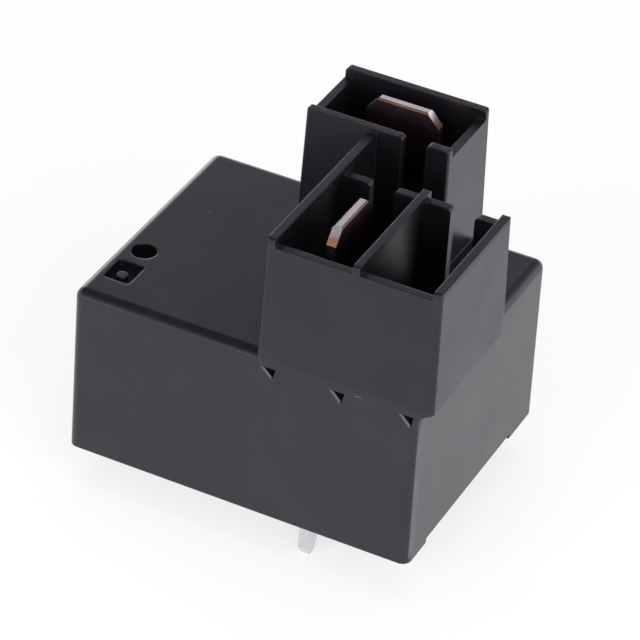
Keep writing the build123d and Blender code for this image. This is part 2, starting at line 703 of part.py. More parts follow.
# Leads, straight from the winding to the coil pins
lead_z = winding_bottom_z + lead_rise
for lead_name, pin_y in (("coil_lead_front", coil_pin_front_y), ("coil_lead_rear", coil_pin_rear_y)):
    to_pin = Vector(coil_pin_x - coil_x, pin_y - coil_y, 0)
    lead_plane = Plane(origin=(coil_x, coil_y, lead_z), z_dir=to_pin)
    with BuildPart() as coil_lead:
        with BuildSketch(lead_plane.offset(tape_radius + seat_gap)):
            Circle(lead_radius)
        extrude(amount=to_pin.length - tape_radius - coil_pin_post_radius - 2 * seat_gap)
    coil_lead.part.label = lead_name
    export_step(coil_lead.part, f"parts/{lead_name}.step")


# Armature in its open pose, hinged on the rear edge of the yoke
with BuildPart() as armature:
    with BuildSketch(armature_plane):
        with Locations((0, -armature_length)):
            Rectangle(armature_width, armature_length, align=(Align.CENTER, Align.MIN))
    extrude(amount=armature_thickness)
    fillet(armature.edges().filter_by(is_upright).group_by(Axis.Y)[0], radius=armature_corner_radius)
    # Countersunk from below, so that the rivets end flush and clear of the pole
    with Locations(Plane(origin=armature_plane.origin, x_dir=(1, 0, 0), z_dir=-armature_plane.z_dir)):
        with Locations((0, arm_rivet_from_hinge)):
            with GridLocations(arm_rivet_spacing, 1, 2, 1):
                CounterSinkHole(rivet_radius + rivet_fit, rivet_head_radius + rivet_fit,
                                depth=armature_thickness, counter_sink_angle=rivet_sink_angle)
armature.part.label = "armature"
export_step(armature.part, "parts/armature.step")


# Hinge spring: riveted to the yoke, bent over the hinge and riveted to the armature
spring_up = armature_thickness + seat_gap + spring_thickness / 2
spring_y = yoke_outer_y + spring_thickness / 2
spring_corner = (spring_y - hinge_y - spring_up * open_sin) / open_cos
with BuildPart() as hinge_spring:
    with BuildSketch(Plane.YZ.offset(coil_x)):
        with BuildLine() as spring_path:
            FilletPolyline((spring_y, yoke_rivet_z - spring_foot), beside_hinge(-spring_corner, spring_up),
                           beside_hinge(spring_reach, spring_up), radius=spring_bend_radius)
        trace(line_width=spring_thickness)
    extrude(amount=spring_width / 2, both=True)
    with BuildSketch(Plane.XZ.offset(-yoke_outer_y - spring_thickness)):
        with Locations((coil_x, yoke_rivet_z)):
            with GridLocations(yoke_rivet_spacing, 1, 2, 1):
                Circle(rivet_radius + rivet_fit)
    extrude(amount=spring_thickness, mode=Mode.SUBTRACT)
    with BuildSketch(armature_plane.offset(armature_thickness)):
        with Locations((0, -arm_rivet_from_hinge)):
            with GridLocations(arm_rivet_spacing, 1, 2, 1):
                Circle(rivet_radius + rivet_fit)
    extrude(amount=2 * spring_thickness, mode=Mode.SUBTRACT)
hinge_spring.part.label = "hinge_spring"
export_step(hinge_spring.part, "parts/hinge_spring.step")


# Contact arm, cranked down past the armature and drawn in towards the contact
arm_up = arm_seat_up + arm_thickness / 2
crank_along = armature_length + arm_crank_start
with BuildPart() as contact_arm:
    with BuildSketch(Plane.YZ.offset(coil_x)):
        with BuildLine():
            Polyline(beside_hinge(arm_start, arm_up), beside_hinge(crank_along, arm_up),
                     beside_hinge(crank_along + arm_crank_length, arm_up - arm_crank_drop),
                     beside_hinge(arm_length, arm_up - arm_crank_drop))
        trace(line_width=arm_thickness)
    extrude(amount=case_length / 2, both=True)
    arm_rear_y = hinge_y
    shoulder_y = hinge_y - armature_length
    tip_left = contact_x - arm_tip_width / 2
    tip_right = contact_x + arm_tip_width / 2
    tip_shoulder_y = contact_y + arm_tip_width / 2
    arm_front_y = contact_y - 2 * arm_tip_overhang
    with BuildSketch():
        with BuildLine():
            Polyline((coil_x - arm_width / 2, arm_rear_y), (coil_x - arm_width / 2, shoulder_y),
                     (tip_left, tip_shoulder_y), (tip_left, arm_front_y),
                     (tip_right, arm_front_y), (tip_right, tip_shoulder_y),
                     (coil_x + arm_width / 2, shoulder_y), (coil_x + arm_width / 2, arm_rear_y), close=True)
        make_face()
    extrude(amount=rim_z, mode=Mode.INTERSECT)
    with BuildSketch(armature_plane.offset(armature_thickness)):
        with Locations((0, -arm_rivet_from_hinge)):
            with GridLocations(arm_rivet_spacing, 1, 2, 1):
                Circle(rivet_radius + rivet_fit)
        with Locations((contact_x - coil_x, -contact_along)):
            Circle(contact_shank_radius + rivet_fit)
    extrude(amount=arm_seat_up, both=True, mode=Mode.SUBTRACT)
contact_arm.part.label = "contact_arm"
export_step(contact_arm.part, "parts/contact_arm.step")


# Moving contact, upset over the arm
with BuildPart() as moving_contact:
    with BuildSketch(armature_plane.offset(arm_tip_up - contact_thickness)):
        with Locations((contact_x - coil_x, -contact_along)):
            Circle(contact_radius)
    extrude(amount=contact_thickness)
    with BuildSketch(armature_plane.offset(arm_tip_up)):
        with Locations((contact_x - coil_x, -contact_along)):
            Circle(contact_shank_radius)
    extrude(amount=arm_thickness)
    with BuildSketch(armature_plane.offset(arm_tip_up + arm_thickness)):
        with Locations((contact_x - coil_x, -contact_along)):
            Circle(contact_upset_radius)
    extrude(amount=contact_upset)
moving_contact.part.label = "moving_contact"
export_step(moving_contact.part, "parts/moving_contact.step")

# Fixed contact, brazed to the ledge
with BuildPart() as fixed_contact:
    with BuildSketch(Plane.XY.offset(ledge_top_z)):
        with Locations((contact_x, contact_y)):
            Circle(contact_radius)
    extrude(amount=fixed_contact_thickness)
fixed_contact.part.label = "fixed_contact"
export_step(fixed_contact.part, "parts/fixed_contact.step")


# Rivets: a countersunk end, a shank and a flat head, turned about their own axis
def rivet_profile(grip):
    """Corners (radius, along) of half a rivet that holds a stack of plates as thick as its grip."""
    top = grip + rivet_head_height
    return ((0, 0), (rivet_head_radius, 0), (rivet_radius, rivet_sink_depth), (rivet_radius, grip),
            (rivet_head_radius, grip), (rivet_head_radius, top), (0, top))


# Rivets through armature, spring and arm
for rivet_name, rivet_side in (("arm_rivet_left", -1), ("arm_rivet_right", 1)):
    rivet_y, rivet_z = beside_hinge(arm_rivet_from_hinge, 0)
    rivet_at = Vector(coil_x + rivet_side * arm_rivet_spacing / 2, rivet_y, rivet_z)
    with BuildPart() as arm_rivet:
        with BuildSketch(Plane(origin=rivet_at, x_dir=(1, 0, 0), z_dir=-armature_plane.y_dir)):
            with BuildLine():
                Polyline(*rivet_profile(arm_seat_up + arm_thickness), close=True)
            make_face()
        revolve(axis=Axis(rivet_at, armature_plane.z_dir))
    arm_rivet.part.label = rivet_name
    export_step(arm_rivet.part, f"parts/{rivet_name}.step")

# Rivets through common terminal, spring and yoke
yoke_grip = com_plate_rear - yoke_inner_y
for rivet_name, rivet_side in (("yoke_rivet_left", -1), ("yoke_rivet_right", 1)):
    rivet_at = Vector(coil_x + rivet_side * yoke_rivet_spacing / 2, com_plate_rear, yoke_rivet_z)
    with BuildPart() as yoke_rivet:
        with BuildSketch(Plane(origin=rivet_at, x_dir=(1, 0, 0), z_dir=(0, 0, 1))):
            with BuildLine():
                Polyline(*[(radius, -along) for radius, along in rivet_profile(yoke_grip)], close=True)
            make_face()
        revolve(axis=Axis(rivet_at, (0, -1, 0)))
    yoke_rivet.part.label = rivet_name
    export_step(yoke_rivet.part, f"parts/{rivet_name}.step")


# Strip that stops the arm on its way up
with BuildPart() as back_stop:
    with BuildSketch(Plane.YZ.offset(contact_x)):
        with BuildLine():
            FilletPolyline(((stop_front_y + stop_rear_y) / 2, base_top_z - stop_root),
                           ((stop_front_y + stop_rear_y) / 2, stop_hook_z + stop_thickness / 2),
                           (stop_hook_y, stop_hook_z + stop_thickness / 2), radius=stop_bend_radius)
        trace(line_width=stop_thickness)
    extrude(amount=stop_width / 2, both=True)
back_stop.part.label = "back_stop"
export_step(back_stop.part, "parts/back_stop.step")

print(f"open angle {math.degrees(open_angle):.3f} deg about x at y {hinge_y:.3f} z {hinge_z:.3f}")
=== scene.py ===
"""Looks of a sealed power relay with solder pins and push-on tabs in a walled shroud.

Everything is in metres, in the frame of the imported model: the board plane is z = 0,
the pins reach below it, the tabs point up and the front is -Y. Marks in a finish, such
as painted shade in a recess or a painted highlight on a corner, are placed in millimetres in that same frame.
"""
import logging
import math
from dataclasses import dataclass
from enum import Enum
from typing import Optional, Protocol

import bmesh
import bpy
from mathutils import Matrix, Vector


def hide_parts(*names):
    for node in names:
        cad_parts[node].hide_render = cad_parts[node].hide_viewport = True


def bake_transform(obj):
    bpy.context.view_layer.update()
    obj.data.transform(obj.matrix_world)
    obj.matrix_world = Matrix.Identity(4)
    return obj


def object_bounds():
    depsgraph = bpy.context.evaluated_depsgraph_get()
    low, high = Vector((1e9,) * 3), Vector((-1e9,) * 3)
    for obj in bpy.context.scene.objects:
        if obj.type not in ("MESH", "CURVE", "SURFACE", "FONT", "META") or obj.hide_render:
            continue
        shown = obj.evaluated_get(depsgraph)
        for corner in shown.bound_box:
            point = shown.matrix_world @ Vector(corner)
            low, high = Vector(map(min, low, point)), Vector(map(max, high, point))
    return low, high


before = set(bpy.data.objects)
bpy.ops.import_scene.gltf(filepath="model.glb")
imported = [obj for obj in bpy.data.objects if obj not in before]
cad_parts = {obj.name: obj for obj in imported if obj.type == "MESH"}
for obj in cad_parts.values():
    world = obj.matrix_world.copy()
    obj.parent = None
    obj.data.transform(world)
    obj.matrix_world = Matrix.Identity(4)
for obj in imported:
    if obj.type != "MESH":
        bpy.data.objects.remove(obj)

LOG = logging.getLogger("relay_scene")
Colour = tuple[float, float, float]
Point = tuple[float, float, float]
Span = tuple[float, float]
MM = 0.001
ORIGIN: Point = (0.0, 0.0, 0.0)
WHITE: Colour = (1.0, 1.0, 1.0)
RISING: Span = (0.0, 1.0)
FALLING: Span = (1.0, 0.0)
# Most values of a noise texture lie in this span.
NOISE_SPAN: Span = (0.3, 0.7)
MODEL_BOX = [list(corner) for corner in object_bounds()]


class Socket(Enum):
    """Kinds of socket that a shader node group can have."""

    VALUE = "NodeSocketFloat"
    VECTOR = "NodeSocketVector"


class Maths(Enum):
    """Operations of a Math node."""

    ADD = "ADD"
    SUBTRACT = "SUBTRACT"
    MULTIPLY = "MULTIPLY"
    MAXIMUM = "MAXIMUM"
    ABSOLUTE = "ABSOLUTE"
    SINE = "SINE"


class Mixed(Enum):
    """What a Mix node mixes: its data type, the places of its two inputs, and of its output."""

    NUMBERS = ("FLOAT", 2, 3, 0)
    VECTORS = ("VECTOR", 4, 5, 1)
    COLOURS = ("RGBA", 6, 7, 2)


@dataclass(frozen=True)
class Waves:
    """A noise texture's waves: how many to a unit of length, and how the finer ones are added."""

    scale: float
    detail: float = 2.0
    roughness: float = 0.5


@dataclass(frozen=True)
class Facing:
    """Surfaces that face a direction, marked from one cosine and fully from another."""

    direction: Point
    start: float = 0.88
    full: float = 0.96

    def opposite(self) -> "Facing":
        """Return the same mark for the opposite direction."""
        return Facing(tuple(-c for c in self.direction), self.start, self.full)


@dataclass(frozen=True)
class Patch:
    """A marked box of space in millimetres, which fades over a soft width outside its corners.

    The mark can be kept to the surfaces that face one way, or leave out those that face another.
    """

    low: Point
    high: Point
    soft: float = 0.06
    strength: float = 1.0
    facing: Optional[Facing] = None
    spared: Optional[Facing] = None

    @staticmethod
    def around(centre: Point, reach: Point, soft: float = 0.04, strength: float = 0.7) -> "Patch":
        """Place a small patch by its centre.

        Args:
            centre: The middle of the box.
            reach: Distance from the middle to each side.
            soft: Width over which the mark fades outside the box.
            strength: The full mark.

        Returns:
            The patch.
        """
        low = tuple(c - r for c, r in zip(centre, reach))
        high = tuple(c + r for c, r in zip(centre, reach))
        return Patch(low, high, soft, strength)


class Graph:
    """Short hand for building the nodes of one material, world or group."""

    column_width = 180.0

    def __init__(self, tree: bpy.types.NodeTree) -> None:
        """Take the tree that the nodes go into.

        Args:
            tree: The node tree of a material, a world or a group.
        """
        self.tree = tree
        self.column = 0

    def add(self, kind: str, **settings: object) -> bpy.types.Node:
        """Add a node.

        Args:
            kind: The node's type name.
            **settings: Attributes to set on it.

        Returns:
            The new node.
        """
        node = self.tree.nodes.new(kind)
        self.column += 1
        node.location = (self.column * self.column_width, 0.0)
        for name, value in settings.items():
            setattr(node, name, value)
        return node

    def link(self, source: bpy.types.NodeSocket, target: bpy.types.NodeSocket) -> None:
        """Join an output to an input."""
        self.tree.links.new(source, target)

    def feed(self, target: bpy.types.NodeSocket, value: object) -> None:
        """Give an input a link or a plain value.

        Args:
            target: The input socket.
            value: An output socket, a number, or a tuple. A colour's tuple gets full opacity.
        """
        if isinstance(value, bpy.types.NodeSocket):
            self.link(value, target)
        elif target.type == "RGBA":
            target.default_value = (*value, 1.0)
        else:
            target.default_value = value

    def maths(self, operation: Maths, first: object, second: object = 0.0,
              clamp: bool = False) -> bpy.types.NodeSocket:
        """Add a Math node.

        Args:
            operation: What it does.
            first: First input, a number or a socket.
            second: Second input, a number or a socket.
            clamp: Whether the result is kept between 0 and 1.

        Returns:
            The node's output.
        """
        node = self.add("ShaderNodeMath", operation=operation.value, use_clamp=clamp)
        self.feed(node.inputs[0], first)
        self.feed(node.inputs[1], second)
        return node.outputs[0]

    def times(self, first: object, second: object) -> bpy.types.NodeSocket:
        """Return the product of two values."""
        return self.maths(Maths.MULTIPLY, first, second)

    def plus(self, first: object, second: object) -> bpy.types.NodeSocket:
        """Return the sum of two values."""
        return self.maths(Maths.ADD, first, second)

    def most(self, first: object, second: object) -> bpy.types.NodeSocket:
        """Return the greater of two values."""
        return self.maths(Maths.MAXIMUM, first, second)

    def remap(self, value: object, old: Span, new: Span = RISING) -> bpy.types.NodeSocket:
        """Map a value from one span to another, clamped.

        Args:
            value: The value's socket.
            old: The span it comes from.
            new: The span it goes to.

        Returns:
            The mapped value's output.
        """
        node = self.add("ShaderNodeMapRange")
        self.feed(node.inputs["Value"], value)
        for names, span in ((("From Min", "From Max"), old), (("To Min", "To Max"), new)):
            for name, number in zip(names, span):
                node.inputs[name].default_value = number
        return node.outputs["Result"]

    def mix(self, kind: Mixed, factor: object, first: object, second: object) -> bpy.types.NodeSocket:
        """Mix two values.

        Args:
            kind: What they are.
            factor: Share of the second.
            first: First value.
            second: Second value.

        Returns:
            The mix's output.
        """
        data_type, first_place, second_place, result_place = kind.value
        node = self.add("ShaderNodeMix", data_type=data_type)
        self.feed(node.inputs[0], factor)
        self.feed(node.inputs[first_place], first)
        self.feed(node.inputs[second_place], second)
        return node.outputs[result_place]

    def blend(self, factor: object, first: object, second: object) -> bpy.types.NodeSocket:
        """Return the mix of two colours, by the second one's share."""
        return self.mix(Mixed.COLOURS, factor, first, second)

    def toned(self, colour: object, value: object) -> bpy.types.NodeSocket:
        """Make a colour darker or paler.

        Args:
            colour: The colour.
            value: What its brightness is multiplied by.

        Returns:
            The toned colour's output.
        """
        node = self.add("ShaderNodeHueSaturation")
        self.feed(node.inputs["Color"], colour)
        self.feed(node.inputs["Value"], value)
        return node.outputs["Color"]

    def bumped(self, height: object, distance: float, normal: object = None) -> bpy.types.NodeSocket:
        """Add a Bump node.

        Args:
            height: The height's socket, from 0 to 1.
            distance: Height of a full step, in metres.
            normal: The normal to start from, or None for the surface's own.

        Returns:
            The bumped normal's output.
        """
        node = self.add("ShaderNodeBump")
        node.inputs["Distance"].default_value = distance
        self.feed(node.inputs["Height"], height)
        if normal is not None:
            self.feed(node.inputs["Normal"], normal)
        return node.outputs["Normal"]

    def noise(self, where: object, waves: Waves, scale: object = None) -> bpy.types.NodeSocket:
        """Add a noise texture.

        Args:
            where: The texture's coordinates.
            waves: Its waves.
            scale: A socket that takes the place of the waves' own scale, or None.

        Returns:
            The noise value's output.
        """
        node = self.add("ShaderNodeTexNoise")
        self.feed(node.inputs["Vector"], where)
        self.feed(node.inputs["Scale"], waves.scale if scale is None else scale)
        node.inputs["Detail"].default_value = waves.detail
        node.inputs["Roughness"].default_value = waves.roughness
        return node.outputs["Fac"]

    def millimetres(self) -> bpy.types.NodeSocket:
        """Scale object coordinates to millimetres.

        Returns:
            The coordinates' output.
        """
        place = self.add("ShaderNodeTexCoord").outputs["Object"]
        node = self.add("ShaderNodeVectorMath", operation="SCALE")
        self.link(place, node.inputs[0])
        node.inputs["Scale"].default_value = 1.0 / MM
        return node.outputs[0]

    def stretched(self, where: object, scale: Point) -> bpy.types.NodeSocket:
        """Scale coordinates by a different factor along each axis.

        Args:
            where: The coordinates.
            scale: Factor along X, Y and Z.

        Returns:
            The scaled coordinates.
        """
        node = self.add("ShaderNodeVectorMath", operation="MULTIPLY")
        self.feed(node.inputs[0], where)
        node.inputs[1].default_value = scale
        return node.outputs[0]

    def split(self, vector: object) -> tuple[bpy.types.NodeSocket, ...]:
        """Take a vector apart.

        Args:
            vector: The vector.

        Returns:
            Its X, Y and Z.
        """
        node = self.add("ShaderNodeSeparateXYZ")
        self.feed(node.inputs[0], vector)
        return tuple(node.outputs)

    def towards(self, facing: Facing) -> bpy.types.NodeSocket:
        """Mark the surfaces that face a direction.

        Args:
            facing: The direction, in object coordinates, and how the mark sets in.

        Returns:
            The mark, from 0 to 1.
        """
        node = self.add("ShaderNodeVectorMath", operation="DOT_PRODUCT")
        self.link(self.add("ShaderNodeTexCoord").outputs["Normal"], node.inputs[0])
        node.inputs[1].default_value = tuple(Vector(facing.direction).normalized())
        return self.remap(node.outputs["Value"], (facing.start, facing.full))

    def patch(self, where: object, patch: Patch) -> bpy.types.NodeSocket:
        """Mark a box of space.

        Args:
            where: Coordinates in millimetres.
            patch: The box and its mark.

        Returns:
            The mark, from 0 to the patch's strength.
        """
        mark: object = patch.strength
        for axis, value in enumerate(self.split(where)):
            rise = self.remap(value, (patch.low[axis] - patch.soft, patch.low[axis]))
            fall = self.remap(value, (patch.high[axis], patch.high[axis] + patch.soft), FALLING)
            mark = self.times(mark, self.times(rise, fall))
        if patch.facing:
            mark = self.times(mark, self.towards(patch.facing))
        if patch.spared:
            mark = self.times(mark, self.remap(self.towards(patch.spared), RISING, FALLING))
        return mark

    def place(self, tree: bpy.types.NodeTree, **values: object) -> bpy.types.Node:
        """Put a node group into the graph.

        Args:
            tree: The group's tree.
            **values: Input values or sockets, with underscores for spaces.

        Returns:
            The group node.
        """
        node = self.add("ShaderNodeGroup", node_tree=tree)
        for name, value in values.items():
            self.feed(node.inputs[name.replace("_", " ")], value)
        return node


def new_group(name: str, inputs: list[tuple[str, Socket, object]],
              outputs: list[tuple[str, Socket]]) -> tuple[Graph, dict, dict]:
    """Start a shader node group.

    Args:
        name: The group's name.
        inputs: Name, kind and default of each input.
        outputs: Name and kind of each output.

    Returns:
        The group's graph, its inputs by name and its outputs by name.
    """
    tree = bpy.data.node_groups.new(name, "ShaderNodeTree")
    for label, kind, default in inputs:
        socket = tree.interface.new_socket(name=label, in_out="INPUT", socket_type=kind.value)
        socket.default_value = default
    for label, kind in outputs:
        tree.interface.new_socket(name=label, in_out="OUTPUT", socket_type=kind.value)
    graph = Graph(tree)
    entry = graph.add("NodeGroupInput")
    leave = graph.add("NodeGroupOutput")
    return graph, {s.name: s for s in entry.outputs}, {s.name: s for s in leave.inputs}


@dataclass(frozen=True)
class MouldGrain:
    """The group that gives moulded plastic its spark-eroded grain."""

    fine: Waves = Waves(9.0, 3.0)
    fine_share: float = 0.75
    coarse: Waves = Waves(2.3)
    coarse_share: float = 0.25
    cloud: Waves = Waves(0.16, 3.0, 0.55)

    def build(self) -> bpy.types.NodeTree:
        """Build the group.

        Returns:
            The group's tree, with outputs Height and Cloud.
        """
        graph, given, result = new_group(
            "mould_grain",
            [("Where", Socket.VECTOR, ORIGIN), ("Grain per mm", Socket.VALUE, self.fine.scale)],
            [("Height", Socket.VALUE), ("Cloud", Socket.VALUE)],
        )
        where = given["Where"]
        fine = graph.times(graph.noise(where, self.fine, given["Grain per mm"]), self.fine_share)
        coarse = graph.times(graph.noise(where, self.coarse), self.coarse_share)
        graph.link(graph.plus(fine, coarse), result["Height"])
        graph.link(graph.noise(where, self.cloud), result["Cloud"])
        return graph.tree


@dataclass(frozen=True)
class FineScratches:
    """The group that marks sparse fine scratches.

    Each set runs along a slanting course, so that it shows as lines on every upright or
    level face. A line lies where stretched noise crosses its middle value.
    """

    courses: tuple[tuple[Point, float], ...] = (
        ((1.0, 0.7, 0.8), 0.06), ((-0.9, 0.6, 0.7), 0.09), ((0.6, 0.9, -0.7), 0.07))
    lines: Waves = Waves(3.1, 1.0)
    middle: float = 0.5
    line_width: float = 0.0025
    patches: Waves = Waves(0.35)
    patch_span: Span = (0.60, 0.68)
    amount: float = 0.5

    def build(self) -> bpy.types.NodeTree:
        """Build the group.

        Returns:
            The group's tree, with output Mask.
        """
        graph, given, result = new_group(
            "fine_scratches",
            [("Where", Socket.VECTOR, ORIGIN), ("Amount", Socket.VALUE, self.amount)],
            [("Mask", Socket.VALUE)],
        )
        along = Vector((0.0, 1.0, 0.0))
        total: object = 0.0
        for course, stretch in self.courses:
            spin = graph.add("ShaderNodeVectorRotate", rotation_type="AXIS_ANGLE")
            graph.link(given["Where"], spin.inputs["Vector"])
            spin.inputs["Axis"].default_value = along.cross(Vector(course))
            spin.inputs["Angle"].default_value = -along.angle(Vector(course))
            turned = spin.outputs[0]
            lines = graph.noise(graph.stretched(turned, (1.0, stretch, 1.0)), self.lines)
            off_middle = graph.maths(Maths.ABSOLUTE, graph.maths(Maths.SUBTRACT, lines, self.middle))
            line = graph.remap(off_middle, (0.0, self.line_width), FALLING)
            patch = graph.remap(graph.noise(turned, self.patches), self.patch_span)
            total = graph.most(total, graph.times(line, patch))
        mask = graph.maths(Maths.MULTIPLY, total, given["Amount"], clamp=True)
        graph.link(mask, result["Mask"])
        return graph.tree


@dataclass(frozen=True)
class SoftEdges:
    """The group that rounds sharp edges in the shading and marks them."""

    radius: float = 0.1 * MM
    samples: int = 6
    turn_span: Span = (0.80, 0.985)

    def build(self) -> bpy.types.NodeTree:
        """Build the group.

        Returns:
            The group's tree, with outputs Normal and Edge.
        """
        graph, given, result = new_group(
            "soft_edges",
            [("Radius", Socket.VALUE, self.radius)],
            [("Normal", Socket.VECTOR), ("Edge", Socket.VALUE)],
        )
        bevel = graph.add("ShaderNodeBevel", samples=self.samples)
        graph.link(given["Radius"], bevel.inputs["Radius"])
        graph.link(bevel.outputs["Normal"], result["Normal"])
        plain = graph.add("ShaderNodeNewGeometry")
        turn = graph.add("ShaderNodeVectorMath", operation="DOT_PRODUCT")
        graph.link(bevel.outputs["Normal"], turn.inputs[0])
        graph.link(plain.outputs["Normal"], turn.inputs[1])
        graph.link(graph.remap(turn.outputs["Value"], self.turn_span, FALLING), result["Edge"])
        return graph.tree


@dataclass(frozen=True)
class Effects:
    """The node groups that several finishes share."""

    grain: bpy.types.NodeTree
    scratches: bpy.types.NodeTree
    edges: bpy.types.NodeTree

    @staticmethod
    def build() -> "Effects":
        """Return the groups, built once."""
        return Effects(MouldGrain().build(), FineScratches().build(), SoftEdges().build())


def blank_material(name: str) -> tuple[bpy.types.Material, Graph, bpy.types.Node]:
    """Start a material with only a Principled shader.

    Args:
        name: The material's name.

    Returns:
        The material, its graph and its Principled node.
    """
    material = bpy.data.materials.new(name)
    material.use_nodes = True
    material.node_tree.nodes.clear()
    graph = Graph(material.node_tree)
    shader = graph.add("ShaderNodeBsdfPrincipled")
    output = graph.add("ShaderNodeOutputMaterial")
    graph.link(shader.outputs[0], output.inputs["Surface"])
    return material, graph, shader


class Finish(Protocol):
    """What every finish offers: a name, and a way to make its material."""

    name: str

    def make(self, effects: Effects) -> bpy.types.Material:
        """Build the material.

        Args:
            effects: The shared node groups.

        Returns:
            The material.
        """


@dataclass(frozen=True)
class MouldedPlastic:
    """Moulded plastic with fine grain, softened edges, light scratches and a few nicks.

    In a hollow, where almost no light gets in, the plastic carries painted shade: its colour is darker and
    duller, and it is made partly metallic so that it hardly reflects. A paler painted highlight, streaked
    like rubbing, can lie along a corner.
    """

    name: str
    colour: Colour
    wear_and_highlight_colour: Colour
    roughness: float = 0.5
    grain_height: float = 0.004 * MM
    grain_per_mm: float = 9.0
    edge_radius: float = 0.1 * MM
    wear: float = 0.5
    scratches: float = 0.4
    haze: float = 0.018
    specular: float = 0.5
    tint: Colour = WHITE
    painted_shades: tuple[Patch, ...] = ()
    blended_foot: Optional[Patch] = None
    nicks: tuple[Patch, ...] = ()
    painted_highlight: Optional[Patch] = None
    tones: Span = (0.88, 1.12)
    roughness_spread: float = 0.03
    worn_roughness: float = 0.15
    shade_colour_share: float = 0.4
    shade_roughness: float = 0.5
    foot_normal: Point = (0.0, -1.0, 0.02)
    wear_waves: Waves = Waves(1.3, 3.0)
    wear_span: Span = (0.35, 0.65)
    wear_range: Span = (0.15, 1.0)
    dust_waves: Waves = Waves(0.22, 3.0)
    dust_span: Span = (0.50, 0.72)
    highlight_stretch: Point = (1.0, 1.0, 0.25)
    highlight_waves: Waves = Waves(0.8)
    highlight_span: Span = (0.3, 0.6)
    highlight_range: Span = (0.7, 1.0)

    def make(self, effects: Effects) -> bpy.types.Material:
        """Build the material.

        Args:
            effects: The shared node groups.

        Returns:
            The material.
        """
        material, graph, shader = blank_material(self.name)
        where = graph.millimetres()
        grain = graph.place(effects.grain, Where=where, Grain_per_mm=self.grain_per_mm)
        edge = graph.place(effects.edges, Radius=self.edge_radius)
        cloud = grain.outputs["Cloud"]
        marks = self._wear_and_highlight(graph, effects, where, edge.outputs["Edge"])
        tone = graph.toned(self.colour, graph.remap(cloud, NOISE_SPAN, self.tones))
        colour = graph.blend(marks, tone, self.wear_and_highlight_colour)
        spread = (self.roughness - self.roughness_spread, self.roughness + self.roughness_spread)
        gloss = graph.remap(cloud, NOISE_SPAN, spread)
        gloss = graph.plus(gloss, graph.times(marks, self.worn_roughness))
        # Painted shade in the hollows: darker colour, more roughness, and the shade fed to Metallic so the
        # near-black plastic barely reflects.
        if self.painted_shades:
            shade: object = 0.0
            for hollow in self.painted_shades:
                shade = graph.most(shade, graph.patch(where, hollow))
            colour = graph.blend(shade, colour, tuple(self.shade_colour_share * c for c in self.colour))
            gloss = graph.maths(Maths.ADD, gloss, graph.times(shade, self.shade_roughness), clamp=True)
            graph.link(shade, shader.inputs["Metallic"])
        graph.link(colour, shader.inputs["Base Color"])
        graph.link(gloss, shader.inputs["Roughness"])
        graph.feed(shader.inputs["Specular IOR Level"], self.specular)
        graph.feed(shader.inputs["Specular Tint"], self.tint)
        normal = self._blended(graph, where, edge.outputs["Normal"])
        bump = graph.bumped(grain.outputs["Height"], self.grain_height, normal)
        graph.link(bump, shader.inputs["Normal"])
        return material

    def _blended(self, graph: Graph, where: object, normal: object) -> object:
        """Blend the sloping foot of the shroud's front into the wall below it.

        Args:
            graph: The material's graph.
            where: Coordinates in millimetres.
            normal: The surface's softened normal.

        Returns:
            The blended normal.
        """
        if self.blended_foot is None:
            return normal
        return graph.mix(Mixed.VECTORS, graph.patch(where, self.blended_foot), normal, self.foot_normal)

    def _wear_and_highlight(self, graph: Graph, effects: Effects, where: object, edge: object) -> object:
        """Mark worn edges, scratches, dust, nicks and the painted highlight along a corner.

        Args:
            graph: The material's graph.
            effects: The shared node groups.
            where: Coordinates in millimetres.
            edge: The mark of the edges.

        Returns:
            The marks, from 0 to 1.
        """
        patchy = graph.remap(graph.noise(where, self.wear_waves), self.wear_span, self.wear_range)
        worn = graph.times(graph.times(edge, patchy), self.wear)
        scratch = graph.place(effects.scratches, Where=where, Amount=self.scratches)
        marks = graph.most(worn, scratch.outputs["Mask"])
        dust = graph.remap(graph.noise(where, self.dust_waves), self.dust_span, (0.0, self.haze))
        marks = graph.most(marks, dust)
        for nick in self.nicks:
            marks = graph.most(marks, graph.patch(where, nick))
        # Painted highlight: a paler streaked band along a rounded corner, standing in for the light that the
        # corner catches.
        if self.painted_highlight:
            streaks = graph.noise(graph.stretched(where, self.highlight_stretch), self.highlight_waves)
            highlight_streaks = graph.remap(streaks, self.highlight_span, self.highlight_range)
            marks = graph.most(marks, graph.times(graph.patch(where, self.painted_highlight), highlight_streaks))
        return marks


